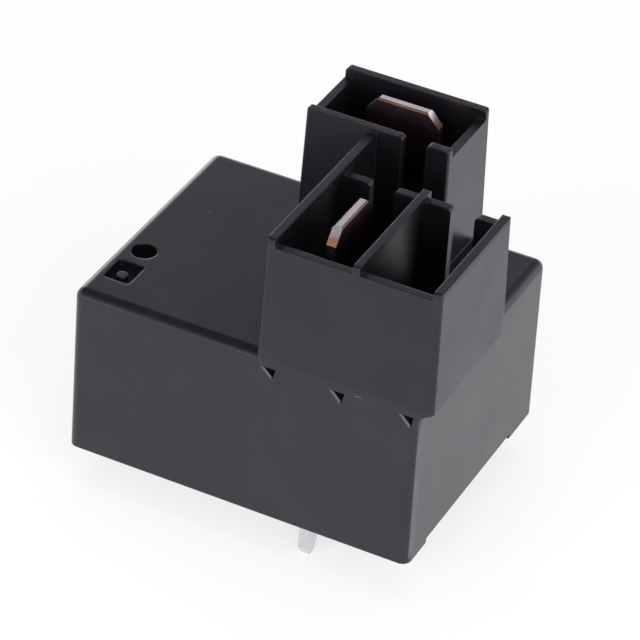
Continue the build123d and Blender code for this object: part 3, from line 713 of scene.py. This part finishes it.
@dataclass(frozen=True)
class PlatedStrip:
    """Stamped metal: plated faces, barer cut edges, and fine rolling lines along its length."""

    name: str
    colour: Colour
    edge_colour: Colour
    along: Point
    roughness: float = 0.28
    edge_radius: float = 0.08 * MM
    bare_edges: float = 0.6
    scratches: float = 0.8
    line_waves: Waves = Waves(6.0, 3.0)
    line_height: float = 0.0015 * MM
    tones: Span = (0.92, 1.06)
    cloud_waves: Waves = Waves(0.8, 3.0)
    smoother: float = 0.06
    rougher: float = 0.08
    scratch_roughness: float = 0.2
    bare_waves: Waves = Waves(1.1)
    bare_span: Span = (0.42, 0.58)

    def make(self, effects: Effects) -> bpy.types.Material:
        """Build the material.

        Args:
            effects: The shared node groups.

        Returns:
            The material.
        """
        material, graph, shader = blank_material(self.name)
        where = graph.millimetres()
        lines = graph.noise(graph.stretched(where, self.along), self.line_waves)
        edge = graph.place(effects.edges, Radius=self.edge_radius)
        scratch = graph.place(effects.scratches, Where=where, Amount=self.scratches)
        patchy = graph.remap(graph.noise(where, self.bare_waves), self.bare_span, (0.0, self.bare_edges))
        bare = graph.times(edge.outputs["Edge"], patchy)
        tone = graph.toned(self.colour, graph.remap(lines, NOISE_SPAN, self.tones))
        graph.link(graph.blend(bare, tone, self.edge_colour), shader.inputs["Base Color"])
        shader.inputs["Metallic"].default_value = 1.0
        spread = (self.roughness - self.smoother, self.roughness + self.rougher)
        gloss = graph.remap(graph.noise(where, self.cloud_waves), NOISE_SPAN, spread)
        gloss = graph.plus(gloss, graph.times(scratch.outputs["Mask"], self.scratch_roughness))
        graph.link(gloss, shader.inputs["Roughness"])
        bump = graph.bumped(lines, self.line_height, edge.outputs["Normal"])
        graph.link(bump, shader.inputs["Normal"])
        return material


@dataclass(frozen=True)
class TerminalStrip:
    """Tinned copper strip of a push-on tab and its solder pin.

    The flat top of the tab and the pin are bright with tin. The wide faces carry painted
    shade, a darker metal colour, with a paler painted highlight near the tab's top, and copper shows where
    the cut bevels and chamfers are bare. Heights are in millimetres above the board.
    """

    name: str
    bare_bevel: Facing
    bare_chamfer: Facing
    bare_heights: Span
    wide_axis: Point = (0.0, 1.0, 0.0)
    tin: Colour = (0.86, 0.84, 0.87)
    pin_tin: Colour = (0.68, 0.665, 0.70)
    # Painted shade colour of the wide faces, and the paler painted highlight colour near the tab's top.
    face: Colour = (0.18, 0.105, 0.135)
    painted_light_colour: Colour = (0.42, 0.27, 0.33)
    painted_light_heights: Span = (24.4, 25.6)
    copper: Colour = (0.93, 0.46, 0.27)
    roughness: float = 0.24
    foot_heights: Span = (12.0, 12.5)
    pin_heights: Span = (0.4, 1.2)
    scratches: float = 0.7
    line_stretch: Point = (1.0, 1.0, 0.05)
    line_waves: Waves = Waves(5.0)
    line_height: float = 0.0006 * MM
    tones: Span = (0.94, 1.05)
    cloud_waves: Waves = Waves(0.7, 3.0)
    smoother: float = 0.04
    rougher: float = 0.06
    scratch_roughness: float = 0.15
    face_metal: float = 0.97
    shaded_face_span: Span = (0.62, 0.70)
    flat_span: Span = (0.90, 0.97)
    border_spread: float = 0.15

    def make(self, effects: Effects) -> bpy.types.Material:
        """Build the material.

        Args:
            effects: The shared node groups.

        Returns:
            The material.
        """
        material, graph, shader = blank_material(self.name)
        where = graph.millimetres()
        height = graph.split(where)[2]
        lines = graph.noise(graph.stretched(where, self.line_stretch), self.line_waves)
        cloud = graph.noise(where, self.cloud_waves)
        scratch = graph.place(effects.scratches, Where=where, Amount=self.scratches)
        above = graph.remap(height, self.pin_heights)
        shaded_faces = graph.times(self._wide_faces(graph, self.shaded_face_span), above)
        # Painted shade on the wide faces, with a paler painted highlight band near the tab's top.
        tin = graph.blend(above, self.pin_tin, self.tin)
        painted_light_band = graph.times(graph.remap(height, self.painted_light_heights), self._wide_faces(graph, self.flat_span))
        base = graph.blend(shaded_faces, tin, graph.blend(painted_light_band, self.face, self.painted_light_colour))
        bare = graph.blend(self._bare_copper(graph, height, cloud), base, self.copper)
        graph.link(graph.toned(bare, graph.remap(lines, NOISE_SPAN, self.tones)), shader.inputs["Base Color"])
        graph.link(graph.remap(shaded_faces, RISING, (1.0, self.face_metal)), shader.inputs["Metallic"])
        spread = (self.roughness - self.smoother, self.roughness + self.rougher)
        gloss = graph.remap(cloud, NOISE_SPAN, spread)
        gloss = graph.plus(gloss, graph.times(scratch.outputs["Mask"], self.scratch_roughness))
        graph.link(gloss, shader.inputs["Roughness"])
        graph.link(graph.bumped(lines, self.line_height), shader.inputs["Normal"])
        return material

    def _wide_faces(self, graph: Graph, cosines: Span) -> object:
        """Mark both wide faces of the tab.

        Args:
            graph: The material's graph.
            cosines: Where the mark starts and where it is full.

        Returns:
            The mark, from 0 to 1.
        """
        face = Facing(self.wide_axis, *cosines)
        return graph.most(graph.towards(face), graph.towards(face.opposite()))

    def _bare_copper(self, graph: Graph, height: object, cloud: object) -> object:
        """Mark where the cut edges are bare.

        Args:
            graph: The material's graph.
            height: Height above the board in millimetres.
            cloud: Slow noise that makes the border uneven.

        Returns:
            The mark, from 0 to 1.
        """
        uneven = graph.plus(height, graph.remap(cloud, NOISE_SPAN, (-self.border_spread, self.border_spread)))
        low = graph.remap(uneven, self.bare_heights, FALLING)
        chamfer = graph.times(graph.towards(self.bare_chamfer), low)
        on_tab = graph.remap(height, self.foot_heights)
        return graph.most(graph.times(graph.towards(self.bare_bevel), on_tab), chamfer)


@dataclass(frozen=True)
class WoundWire:
    """Close turns of enamelled wire round an upright axis."""

    name: str
    colour: Colour
    wire_diameter: float = 0.12 * MM
    metal: float = 0.8
    shade_waves: Waves = Waves(0.9)
    shade_span: Span = (-1.0, 1.6)
    tones: Span = (0.72, 1.05)
    gloss_waves: Waves = Waves(2.0)
    gloss_range: Span = (0.28, 0.42)
    turn_height_share: float = 0.25

    def make(self, effects: Effects) -> bpy.types.Material:
        """Build the material.

        Args:
            effects: The shared node groups, of which it needs none.

        Returns:
            The material.
        """
        material, graph, shader = blank_material(self.name)
        where = graph.millimetres()
        waves_per_mm = 2.0 * math.pi * MM / self.wire_diameter
        turns = graph.maths(Maths.SINE, graph.times(graph.split(where)[2], waves_per_mm))
        uneven = graph.plus(turns, graph.noise(where, self.shade_waves))
        tone = graph.toned(self.colour, graph.remap(uneven, self.shade_span, self.tones))
        graph.link(tone, shader.inputs["Base Color"])
        shader.inputs["Metallic"].default_value = self.metal
        gloss = graph.remap(graph.noise(where, self.gloss_waves), NOISE_SPAN, self.gloss_range)
        graph.link(gloss, shader.inputs["Roughness"])
        bump = graph.bumped(turns, self.wire_diameter * self.turn_height_share)
        graph.link(bump, shader.inputs["Normal"])
        return material


LINES_ALONG_Y: Point = (1.0, 0.08, 1.0)
LINES_UPRIGHT: Point = (1.0, 1.0, 0.05)
NO_LINES: Point = (1.0, 1.0, 1.0)
SOFT_IRON = PlatedStrip("soft_iron", (0.58, 0.58, 0.58), (0.45, 0.44, 0.43), LINES_ALONG_Y, 0.35)
BARE_COPPER = PlatedStrip("bare_copper", (0.80, 0.44, 0.30), (0.6, 0.32, 0.2), LINES_ALONG_Y, 0.32)
CONTACT_SILVER = PlatedStrip("contact_silver", (0.86, 0.85, 0.82), (0.7, 0.68, 0.62), NO_LINES, 0.3)


class Palette:
    """The relay's materials, each built on its first use."""

    def __init__(self, effects: Effects) -> None:
        """Take the shared node groups.

        Args:
            effects: The node groups.
        """
        self._effects = effects
        self._made: dict[str, bpy.types.Material] = {}

    def material(self, finish: Finish) -> bpy.types.Material:
        """Find or build a finish's material.

        Args:
            finish: The finish.

        Returns:
            Its material.
        """
        if finish.name not in self._made:
            self._made[finish.name] = finish.make(self._effects)
        return self._made[finish.name]

    def dress(self, finish: Finish, *nodes: str) -> None:
        """Give CAD nodes a finish in all their slots, and report each.

        Args:
            finish: The finish.
            *nodes: The nodes' names.
        """
        material = self.material(finish)
        for node in nodes:
            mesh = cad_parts[node].data
            if not mesh.materials:
                mesh.materials.append(material)
            for index in range(len(mesh.materials)):
                mesh.materials[index] = material
            LOG.info("%s: %s", node, finish.name)


@dataclass(frozen=True)
class Housing:
    """The moulded case with its shroud, the base that closes it, and the seal under the base."""

    # Boxes of painted shade: the case is darker and duller in its recesses and notches, on the shroud, in the
    # rear pocket and on the wall tops.
    vent_recess_shade: Patch = Patch((-14.05, -9.10, 14.30), (-11.45, -5.95, 14.82), strength=0.5)
    blind_hole_shade: Patch = Patch((-13.85, -5.45, 14.20), (-11.55, -3.05, 14.88), 0.08, 0.8)
    notch_mouth_shade: Patch = Patch((1.30, -11.58, 12.70), (14.20, -11.40, 13.99), 0.03, 0.9,
                                spared=Facing((0.54, -0.64, 0.54), 0.86, 0.94))
    notch_back_shade: Patch = Patch((1.30, -11.44, 12.70), (14.20, -10.9, 13.99), 0.05, 0.9)
    shroud: Patch = Patch((-4.5, -13.0, 15.4), (17.0, 13.5, 27.0), 0.9, 0.09)
    rear_pocket_shade: Patch = Patch((-4.5, 3.8, 16.2), (7.5, 13.5, 27.0), 0.6, 0.26)
    wall_top_shade: Patch = Patch((0.5, -13.0, 25.5), (17.0, 0.9, 27.0), 0.2, 0.22)
    shroud_foot: Patch = Patch((1.7, -12.5, 13.9), (15.9, -11.4, 15.3), 0.1, 0.9,
                               facing=Facing((0.0, -0.89, -0.46), 0.90, 0.96))
    nick_under_shroud: Patch = Patch.around((9.80, -11.75, 14.17), (0.28, 0.35, 0.02))
    nick_on_top: Patch = Patch.around((-11.02, 3.32, 15.0), (0.16, 0.03, 0.05))
    nick_at_right: Patch = Patch.around((16.05, -0.20, 16.0), (0.20, 0.03, 0.45))
    # Painted highlight: a paler streaked band along the case's front right corner, standing in for the
    # highlight the rounded corner catches.
    corner_highlight: Patch = Patch((14.0, -12.5, 0.9), (15.2, -11.3, 13.0), 0.8, 0.60,
                                 facing=Facing((0.97, -0.24, 0.0), 0.93, 0.985))
    base_plastic: MouldedPlastic = MouldedPlastic("base_black", (0.030, 0.029, 0.030),
                                                  (0.12, 0.12, 0.12), 0.55)
    resin: MouldedPlastic = MouldedPlastic("seal_black", (0.018, 0.018, 0.020), (0.05, 0.05, 0.05), 0.22,
                                           grain_height=0.002 * MM, grain_per_mm=0.9, wear=0.1)

    def case_plastic(self) -> MouldedPlastic:
        """Put the case's painted shade in its recesses, pockets and shroud, its nicks and the painted
        highlight on its front corner into its plastic.

        Returns:
            The case's finish.
        """
        return MouldedPlastic(
            "case_black", (0.0046, 0.0037, 0.0050), (0.17, 0.16, 0.17), 0.30, grain_height=0.0015 * MM,
            edge_radius=0.15 * MM, wear=0.04, scratches=0.15, specular=0.59, tint=(0.89, 0.82, 1.0),
            painted_shades=(self.vent_recess_shade, self.blind_hole_shade, self.notch_mouth_shade, self.notch_back_shade,
                     self.shroud, self.rear_pocket_shade, self.wall_top_shade),
            blended_foot=self.shroud_foot,
            nicks=(self.nick_under_shroud, self.nick_on_top, self.nick_at_right),
            painted_highlight=self.corner_highlight,
        )

    def dress(self, palette: Palette) -> None:
        """Dress the case, the base and the seal.

        Args:
            palette: The relay's materials.
        """
        palette.dress(self.case_plastic(), "case")
        palette.dress(self.base_plastic, "base")
        palette.dress(self.resin, "epoxy_seal")


@dataclass(frozen=True)
class Terminals:
    """The two terminals, the fixed contact on the front one, and the arm's back stop."""

    front_strip: TerminalStrip = TerminalStrip(
        "tinned_front_strip", bare_bevel=Facing((-0.7, 0.0, 0.7)), bare_chamfer=Facing((0.0, -0.75, 0.66)),
        bare_heights=(25.1, 25.5), wide_axis=(1.0, 0.0, 0.0))
    rear_strip: TerminalStrip = TerminalStrip(
        "tinned_rear_strip", bare_bevel=Facing((0.0, -0.7, 0.7)), bare_chamfer=Facing((0.75, 0.0, 0.66)),
        bare_heights=(25.0, 25.7), copper=(0.72, 0.38, 0.26))
    contact: PlatedStrip = CONTACT_SILVER
    stop: PlatedStrip = SOFT_IRON

    def dress(self, palette: Palette) -> None:
        """Dress both strips, the fixed contact and the stop.

        Args:
            palette: The relay's materials.
        """
        palette.dress(self.front_strip, "no_terminal")
        palette.dress(self.rear_strip, "com_terminal")
        palette.dress(self.contact, "fixed_contact")
        palette.dress(self.stop, "back_stop")


@dataclass(frozen=True)
class Coil:
    """The bobbin with its winding and tape, and the pins and leads that feed it."""

    bobbin_plastic: MouldedPlastic = MouldedPlastic("bobbin_natural", (0.70, 0.68, 0.60),
                                                    (0.8, 0.78, 0.72), 0.45)
    film: MouldedPlastic = MouldedPlastic("tape_yellow", (0.75, 0.50, 0.08), (0.8, 0.6, 0.2), 0.3,
                                          grain_height=0.001 * MM, wear=0.1)
    wire: WoundWire = WoundWire("copper_wire", (0.62, 0.26, 0.12))
    pins: PlatedStrip = PlatedStrip("tinned_pin", (0.68, 0.665, 0.70), (0.70, 0.42, 0.30), LINES_UPRIGHT,
                                    bare_edges=0.1)

    def dress(self, palette: Palette) -> None:
        """Dress the bobbin, the tape, the winding, the leads and the pins.

        Args:
            palette: The relay's materials.
        """
        palette.dress(self.bobbin_plastic, "bobbin")
        palette.dress(self.film, "coil_tape")
        palette.dress(self.wire, "coil_winding", "coil_lead_front", "coil_lead_rear")
        palette.dress(self.pins, "coil_pin_front", "coil_pin_rear")


@dataclass(frozen=True)
class Magnet:
    """The iron core and yoke, with the rivets in the yoke."""

    iron: PlatedStrip = SOFT_IRON
    rivets: PlatedStrip = BARE_COPPER

    def dress(self, palette: Palette) -> None:
        """Dress the core, the yoke and its rivets.

        Args:
            palette: The relay's materials.
        """
        palette.dress(self.iron, "core", "yoke")
        palette.dress(self.rivets, "yoke_rivet_left", "yoke_rivet_right")


@dataclass(frozen=True)
class HingeLeaf:
    """The leaf spring over the armature's hinge, which in the real relay bends as the armature closes."""

    node: str = "hinge_spring"
    fixed_body: str = "relay"
    moving_body: str = "armature_assembly"
    bend_start: Point = (-0.0025, 0.0096, 0.0111)
    bend_end: Point = (-0.0025, 0.0091, 0.01235)
    cuts: tuple[float, ...] = (0.0111, 0.0113, 0.0115, 0.0117)

    def make(self, material: bpy.types.Material) -> bpy.types.Object:
        """Build the leaf from the CAD solid's mesh, with rows of points across its bend.

        Args:
            material: The leaf's finish.

        Returns:
            The leaf.
        """
        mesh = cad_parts[self.node].data.copy()
        mesh.name = "hinge_spring_leaf"
        shape = bmesh.new()
        shape.from_mesh(mesh)
        for height in self.cuts:
            everything = shape.verts[:] + shape.edges[:] + shape.faces[:]
            bmesh.ops.bisect_plane(shape, geom=everything, plane_co=(0.0, 0.0, height),
                                   plane_no=(0.0, 0.0, 1.0))
        shape.to_mesh(mesh)
        shape.free()
        mesh.materials.clear()
        mesh.materials.append(material)
        leaf = bpy.data.objects.new("hinge_spring_leaf", mesh)
        bpy.context.scene.collection.objects.link(leaf)
        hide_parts(self.node)
        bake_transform(leaf)
        LOG.info("%s: %s, bends with %s", leaf.name, material.name, self.moving_body)
        return leaf


@dataclass(frozen=True)
class ArmatureAssembly:
    """The armature with its contact arm, and the leaf spring that hinges it."""

    iron: PlatedStrip = SOFT_IRON
    copper: PlatedStrip = BARE_COPPER
    contact: PlatedStrip = CONTACT_SILVER
    bronze: PlatedStrip = PlatedStrip("spring_bronze", (0.72, 0.48, 0.30), (0.6, 0.38, 0.24),
                                      LINES_ALONG_Y, 0.3)
    leaf: HingeLeaf = HingeLeaf()

    def dress(self, palette: Palette) -> None:
        """Dress the armature, the arm, its rivets and its contact, and build the leaf.

        Args:
            palette: The relay's materials.
        """
        palette.dress(self.iron, "armature")
        palette.dress(self.copper, "contact_arm", "arm_rivet_left", "arm_rivet_right")
        palette.dress(self.contact, "moving_contact")
        self.leaf.make(palette.material(self.bronze))


@dataclass(frozen=True)
class PhotoCamera:
    """The camera at the photograph's viewing angle, with angles in degrees and the lens in mm."""

    place: Point = (0.101144, -0.218571, 0.181826)
    azimuth: float = 24.643
    elevation: float = 35.417
    roll: float = 3.916
    focal_length: float = 210.91
    sensor_width: float = 36.0
    nearest: float = 0.01
    farthest: float = 20.0

    def make(self) -> bpy.types.Object:
        """Build the camera and make it the scene's own.

        Returns:
            The camera object.
        """
        turn, lift, lean = (math.radians(a) for a in (self.azimuth, self.elevation, self.roll))
        back = Vector((math.sin(turn) * math.cos(lift), -math.cos(turn) * math.cos(lift), math.sin(lift)))
        right = Vector((math.cos(turn), math.sin(turn), 0.0))
        up = back.cross(right)
        camera_x = math.cos(lean) * right + math.sin(lean) * up
        camera_y = math.cos(lean) * up - math.sin(lean) * right
        data = bpy.data.cameras.new("photo_camera")
        data.lens = self.focal_length
        data.sensor_width = self.sensor_width
        data.sensor_fit = "HORIZONTAL"
        data.clip_start = self.nearest
        data.clip_end = self.farthest
        camera = bpy.data.objects.new("photo_camera", data)
        axes = Matrix((camera_x, camera_y, back)).transposed().to_4x4()
        camera.matrix_world = Matrix.Translation(self.place) @ axes
        bpy.context.scene.collection.objects.link(camera)
        bpy.context.scene.camera = camera
        LOG.info("camera %s", camera.name)
        return camera


@dataclass(frozen=True)
class Softbox:
    """One soft studio light, aimed at a point."""

    name: str
    place: Point
    aim: Point
    size: tuple[float, float]
    power: float
    colour: Colour = WHITE
    in_reflections: bool = False

    def make(self) -> bpy.types.Object:
        """Build the light.

        Returns:
            The light object.
        """
        data = bpy.data.lights.new(self.name, "AREA")
        data.shape = "RECTANGLE"
        data.size, data.size_y = self.size
        data.energy = self.power
        data.color = self.colour
        light = bpy.data.objects.new(self.name, data)
        direction = Vector(self.aim) - Vector(self.place)
        light.location = self.place
        light.rotation_euler = direction.to_track_quat("-Z", "Y").to_euler()
        light.visible_glossy = self.in_reflections
        bpy.context.scene.collection.objects.link(light)
        LOG.info("light %s", self.name)
        return light


@dataclass(frozen=True)
class Studio:
    """White studio: pale floor, bright walls under a darker ceiling, and soft lights.

    The sky gives the walls' brightness by the height of a direction, from 0 at the floor
    to 1 straight above.
    """

    floor_z: float
    floor_reach: float = 1.5
    floor_white: float = 0.72
    paper: Colour = (0.86, 0.845, 0.86)
    sky_colour: Colour = (1.0, 0.965, 1.0)
    sky: tuple[Span, ...] = ((0.0, 2.4), (0.25, 1.1), (0.45, 0.58), (0.58, 0.37), (0.67, 0.31),
                             (0.76, 0.13), (0.945, 0.12), (0.97, 0.5), (1.0, 0.5))
    lights: tuple[Softbox, ...] = (
        Softbox("key_right", (0.39, -0.275, 0.257), (0.0, 0.0, 0.01), (0.45, 0.45), 2.5,
                colour=(1.0, 0.955, 1.0), in_reflections=True),
        Softbox("fill_front", (-0.12, -0.50, 0.22), (0.0, 0.0, 0.01), (0.40, 0.30), 2.0),
        Softbox("top", (0.0, 0.05, 0.50), ORIGIN, (0.40, 0.40), 1.0),
        Softbox("rim_left", (-0.36, 0.48, 0.075), (0.0, 0.0, 0.01), (0.24, 0.16), 0.36, in_reflections=True),
    )

    def make(self) -> None:
        """Build floor, surroundings and lights."""
        self._floor()
        self._sky()
        for light in self.lights:
            light.make()
        bpy.context.scene.view_settings.view_transform = "Standard"

    def _floor_material(self) -> bpy.types.Material:
        """Build the floor's paper, which looks nearly white to the camera and in mirrors.

        Returns:
            The material.
        """
        material = bpy.data.materials.new("pale_floor")
        material.use_nodes = True
        material.node_tree.nodes.clear()
        graph = Graph(material.node_tree)
        paper = graph.add("ShaderNodeBsdfDiffuse")
        graph.feed(paper.inputs["Color"], self.paper)
        glow = graph.add("ShaderNodeEmission")
        graph.feed(glow.inputs["Color"], WHITE)
        path = graph.add("ShaderNodeLightPath")
        seen = graph.most(path.outputs["Is Camera Ray"], path.outputs["Is Glossy Ray"])
        seen = graph.most(seen, path.outputs["Is Transmission Ray"])
        mix = graph.add("ShaderNodeMixShader")
        graph.link(graph.times(seen, self.floor_white), mix.inputs[0])
        graph.link(paper.outputs[0], mix.inputs[1])
        graph.link(glow.outputs[0], mix.inputs[2])
        output = graph.add("ShaderNodeOutputMaterial")
        graph.link(mix.outputs[0], output.inputs["Surface"])
        return material

    def _floor(self) -> None:
        """Build the floor under the pins."""
        reach = self.floor_reach
        mesh = bpy.data.meshes.new("floor")
        square = ((-reach, -reach), (reach, -reach), (reach, reach), (-reach, reach))
        mesh.from_pydata([(x, y, self.floor_z) for x, y in square], [], [(0, 1, 2, 3)])
        floor = bpy.data.objects.new("floor", mesh)
        bpy.context.scene.collection.objects.link(floor)
        mesh.materials.append(self._floor_material())

    def _sky(self) -> None:
        """Build the surroundings: bright walls under a darker ceiling."""
        world = bpy.data.worlds.new("studio")
        bpy.context.scene.world = world
        world.use_nodes = True
        world.node_tree.nodes.clear()
        graph = Graph(world.node_tree)
        background = graph.add("ShaderNodeBackground")
        graph.feed(background.inputs["Color"], self.sky_colour)
        height = graph.split(graph.add("ShaderNodeTexCoord").outputs["Generated"])[2]
        light: object = self.sky[0][1]
        for (low, _), (high, strength) in zip(self.sky, self.sky[1:]):
            light = graph.mix(Mixed.NUMBERS, graph.remap(height, (low, high)), light, strength)
        graph.link(light, background.inputs["Strength"])
        output = graph.add("ShaderNodeOutputWorld")
        graph.link(background.outputs[0], output.inputs["Surface"])


def main() -> None:
    """Build the scene in order."""
    logging.basicConfig(level=logging.INFO, format="%(message)s")
    palette = Palette(Effects.build())
    for assembly in (Housing(), Terminals(), Coil(), Magnet(), ArmatureAssembly()):
        assembly.dress(palette)
    Studio(floor_z=MODEL_BOX[0][2]).make()
    PhotoCamera().make()


if __name__ == "__main__":
    main()
